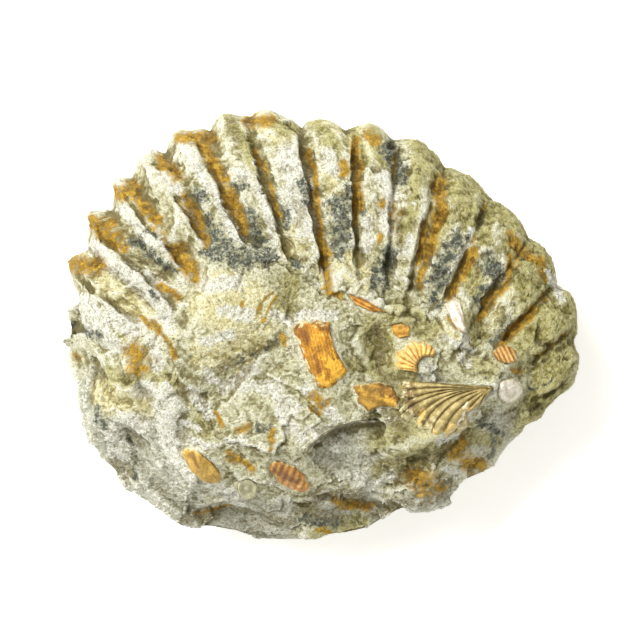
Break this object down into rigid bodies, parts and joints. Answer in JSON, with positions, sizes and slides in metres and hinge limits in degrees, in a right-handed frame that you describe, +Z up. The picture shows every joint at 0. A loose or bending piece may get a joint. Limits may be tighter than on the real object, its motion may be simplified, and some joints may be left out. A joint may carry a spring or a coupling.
{
  "type": "ammonite fossil",
  "caption": "Ribbed ammonite fossil, a thick part of a whorl in pale limestone matrix with orange shell fragments, to lie on a shelf or in a display.",
  "frame": {"origin": "middle of the specimen's footprint, on the surface that it rests on", "axes": "+X to the right of the specimen as displayed, +Y to the back of the ribs, +Z up, out of the displayed face"},
  "size_m": [0.1509, 0.1254, 0.0609],
  "materials": {
    "cast_stone": "rough, weathered, iron-stained in the grooves",
    "limestone": "rough, broken",
    "orange_shell": "satin, finely ribbed",
    "pale_shell": "satin"
  },
  "bodies": {
    "root": {"ammonite": "cast_stone", "matrix": "limestone", "small_scallop": "orange_shell", "ribbed_shell": "orange_shell", "worn_shell": "orange_shell", "shell_strip": "orange_shell", "shell_chip": "orange_shell", "scallop_fragment": "orange_shell", "left_oval_shell": "orange_shell", "right_oval_shell": "orange_shell", "large_scallop": "pale_shell", "round_shell": "pale_shell", "broken_shell": "pale_shell", "ring_shell": "pale_shell", "shell_edge": "pale_shell"}
  },
  "joints": []
}
